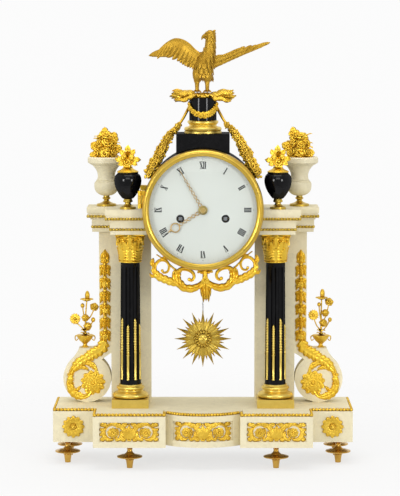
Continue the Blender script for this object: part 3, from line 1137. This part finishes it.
# Heights of the paint's front and back over the enamel
PAINT_FRONT, PAINT_BACK = 0.12, 0.02


def on_dial(p):
    """Flat dial drawing (right, up, height) on the domed enamel."""
    r = np.hypot(p[..., 0], p[..., 1])
    y = DIAL_Y + DIAL_SPHERE - np.sqrt(DIAL_SPHERE ** 2 - r * r)
    return np.stack([p[..., 0], y - p[..., 2], dial_z + p[..., 1]], -1)


def stroke(form, turn, x0, z0, x1, z1, wide):
    """Painted line between two points of a numeral that stands at the top of the dial and is turned to its hour."""
    a, b = np.array([x0, z0], float), np.array([x1, z1], float)
    side = np.array([-(b - a)[1], (b - a)[0]]) / np.linalg.norm(b - a) * wide / 2
    line = a + (b - a) * np.linspace(0, 1, 5)[:, None]
    high = np.full(len(line), PAINT_FRONT)
    grid = np.stack([np.c_[line + side, high], np.c_[line - side, high]], 1)
    form.relief(turned(on_dial, -turn), grid, PAINT_BACK)


def hoop(form, to, section):
    """Ring with a closed section of (radius, height) points, round a frame's out direction."""
    n, k = len(section), 40
    a = circle(k)
    grid = np.array([surface(r * np.cos(a), r * np.sin(a), h) for r, h in section])
    at = np.arange(n * k).reshape(n, k)
    up = np.roll(at, -1, 0)
    form.add(to(grid), np.stack([at, up, np.roll(up, -1, 1), np.roll(at, -1, 1)], -1).reshape(-1, 4))


def dial_marks():
    """Painted numerals and minutes, and the rims of the winding holes."""
    form = Form()
    low, high, thick, thin = 51.6, 60.2, 1.45, 0.5
    wide = {"I": 2.05, "V": 4.0, "X": 4.1}
    for hour, text in enumerate("XII I II III IIII V VI VII VIII IX X XI".split()):
        turn = 30 * hour
        x = -sum(wide[c] for c in text) / 2
        for c in text:
            m, w = x + wide[c] / 2, wide[c] / 2 - 0.5
            if c == "I":
                stroke(form, turn, m, low, m, high, thick)
            elif c == "V":
                stroke(form, turn, m - w, high, m, low, thick)
                stroke(form, turn, m + w, high, m, low, thin)
            else:
                stroke(form, turn, m - w, high, m + w, low, thick)
                stroke(form, turn, m + w, high, m - w, low, thin)
            for level in (low, high):
                if c != "V" or level == high:
                    stroke(form, turn, x + 0.1, level, x + wide[c] - 0.1, level, thin)
            x += wide[c]
    for minute in range(60):
        turn = 6 * minute
        size = 0.75 if minute % 5 == 0 else 0.45
        stroke(form, turn, 0, MINUTE_R - size / 2, 0, MINUTE_R + size / 2, size)
    form.piece("dial_marks", "case", "enamel", INK)
    front = DIAL_Y + DIAL_SPHERE - sqrt(DIAL_SPHERE ** 2 - WINDING_X ** 2 - WINDING_DROP ** 2)
    rings = Form()
    rim = [(EYELET_R, 0.15), (EYELET_R + 0.5, 0.0), (EYELET_R + 0.5, -1.0), (EYELET_BORE, -1.4), (EYELET_BORE, -0.9),
           (EYELET_R - 0.5, -0.5)]
    for s in (-1, 1):
        hoop(rings, wall(front, s * WINDING_X, dial_z - WINDING_DROP), rim)
    rings.piece("winding_eyelets", "case", "enamel", INK)


def braid(form, to, start, end, w0, w1, crossings):
    """Two thin strands that cross each other along the frame's up direction."""
    for k in (-1, 1):
        way = []
        for j in range(2 * crossings + 1):
            t = j / (2 * crossings)
            way.append((k * (0, 1, 0, -1)[j % 4] * (w0 + (w1 - w0) * t) / 2, start + (end - start) * t))
        band(form, to, way, 1.1, 0.9, 0.75, 0.7, 12 * crossings, 0.0)


def hands():
    """Pierced hands in place of the plain ones of the source."""
    for node, body, turn, hub, bore in (("hour_hand", "hour_work", HOUR_TURN, 5.8, 3.1),
                                        ("minute_hand", "minute_work", MINUTE_TURN, 5.0, 2.1)):
        to = turned(wall(box_mm(node)[1][1], 0, dial_z), -turn)
        form, boss = Form(), Form()
        hoop(boss, to, [(hub, 0), (hub, 0.5), (hub - 0.5, 0.8), (bore + 0.4, 0.8), (bore, 0.6), (bore, 0)])
        boss.piece(node + "_boss", body, "gilt_bronze", HUB_GILT)
        if node == "hour_hand":
            braid(form, to, hub - 0.6, 35.0, 4.2, 3.8, 5)
            hoop(form, turned(to, 0, 0, 40.8), [(6.3, 0), (6.3, 0.4), (5.5, 0.8), (4.7, 0.4), (4.7, 0)])
            band(form, to, [(0, 46.6), (0, 49), (0, 52)], 3.4, 0.4, 0.8, 0.5, 10, 0.0)
        else:
            braid(form, to, hub - 0.6, 45.0, 4.0, 2.6, 7)
            band(form, to, [(0, 44.6), (0, 50), (0, 60)], 1.6, 0.4, 0.75, 0.5, 16, 0.0)
        form.piece(node + "_pierced", body, "gilt_bronze", HAND_GILT, node)


# Studio
CAMERA_PLACE, CAMERA_AIM = (0.0, -2.825, 0.5552), (-0.0037, 0.0, 0.2739)
CAMERA_LENS, CAMERA_SENSOR = 162.4, 36.0
# Lamps: place, aim, size, power
LAMPS = {"key": ((-1.5, -2.0, 0.62), (0, 0, 0.4), (0.55, 0.7), 16),
         "fill": ((1.4, -2.1, 0.62), (0, 0, 0.4), (0.55, 0.7), 14),
         "front": ((0, -2.7, 1.5), (0, 0, 0.3), (1.8, 0.8), 12),
         "top": ((0, -0.3, 2.2), (0, 0, 0.3), (1.6, 1.2), 14)}
FLOOR_HALF = 6


def aimed(name, data, place, aim):
    """Object at a place that looks at a point."""
    made = bpy.data.objects.new(name, data)
    bpy.context.scene.collection.objects.link(made)
    made.location = place
    made.rotation_euler = (Vector(aim) - Vector(place)).to_track_quat("-Z", "Y").to_euler()
    return made


def studio():
    """Camera, lamps, a pale room, and a floor that fades out away from the clock."""
    scene = bpy.context.scene
    scene.view_settings.view_transform = "Standard"
    scene.camera = aimed("camera", bpy.data.cameras.new("camera"), CAMERA_PLACE, CAMERA_AIM)
    scene.camera.data.sensor_width = CAMERA_SENSOR
    scene.camera.data.lens = CAMERA_LENS
    for name, (place, aim, size, power) in LAMPS.items():
        light = bpy.data.lights.new(name, "AREA")
        light.shape = "ELLIPSE"
        light.size, light.size_y = size
        light.energy = power
        aimed(name, light, place, aim)

    scene.world = bpy.data.worlds.new("studio")
    scene.world.use_nodes = True
    add = node_adder(scene.world.node_tree)
    way = add("SeparateXYZ", i0=add("TexCoord").outputs["Generated"])
    room = add("MapRange", Value=way.outputs["Y"], From_Min=-0.9, From_Max=0.6, To_Min=0.5, To_Max=0.97)
    add("OutputWorld", Surface=add("Background", Color=(1, 1, 1, 1), Strength=room))

    floor = bpy.data.meshes.new("floor")
    corners = [(x * FLOOR_HALF, y * FLOOR_HALF, 0) for x, y in ((-1, -1), (1, -1), (1, 1), (-1, 1))]
    floor.from_pydata(corners, [], [(0, 1, 2, 3)])
    ground = bpy.data.objects.new("floor", floor)
    scene.collection.objects.link(ground)
    paper, add = material("paper")
    rays = add("LightPath").outputs
    seen = rays["Is Camera Ray"]
    for kind in ("Is Glossy Ray", "Is Transmission Ray"):
        seen = add("Math", operation="MAXIMUM", i0=seen, i1=rays[kind])
    bounce = add("BsdfDiffuse", Color=(0.6, 0.6, 0.6, 1))
    pale = add("BsdfDiffuse", Color=(0.24, 0.24, 0.24, 1))
    lit = add("AddShader", i0=pale, i1=add("Emission", Strength=0.68))
    mixed = add("MixShader", i0=seen, i1=bounce, i2=lit)
    far = add("VectorMath", operation="LENGTH", i0=add("TexCoord").outputs["Object"])
    fade = ramp(add, far.outputs["Value"], (0.32, 1.0), (0.75, 0.0))
    add("OutputMaterial", Surface=add("MixShader", i0=fade, i1=add("BsdfTransparent"), i2=mixed))
    floor.materials.append(paper)


# Mounts with their finish, made in this order. Each takes the place of the CAD node that has its function's name
MOUNTS = ((base_beading, FLOWER_GILT), (frieze_panels, FLOWER_GILT), (frieze_center, FLOWER_GILT),
          (base_rosettes, FLOWER_GILT), (console_mounts, GILT), (husk_chains, GILT), (flower_vases, FLOWER_GILT),
          (flute_reeds, PALE_GILT), (capitals, GILT), (entablature_beading, OLD_GILT), (bouquets, GILT),
          (flower_sprays, GILT), (garlands, GARLAND_GILT), (pedestal_swag, GILT), (thunderbolt, FLOWER_GILT),
          (eagle, BIRD_GILT), (apron_mount, GILT), (sunburst, OLD_GILT))
dress_cad()
for make, finish in MOUNTS:
    mount, mount_node = Form(), make.__name__
    make(mount)
    mount.piece(mount_node + "_gilt", "pendulum" if make is sunburst else "case", "gilt_bronze", finish, mount_node)
dial_marks()
hands()
studio()
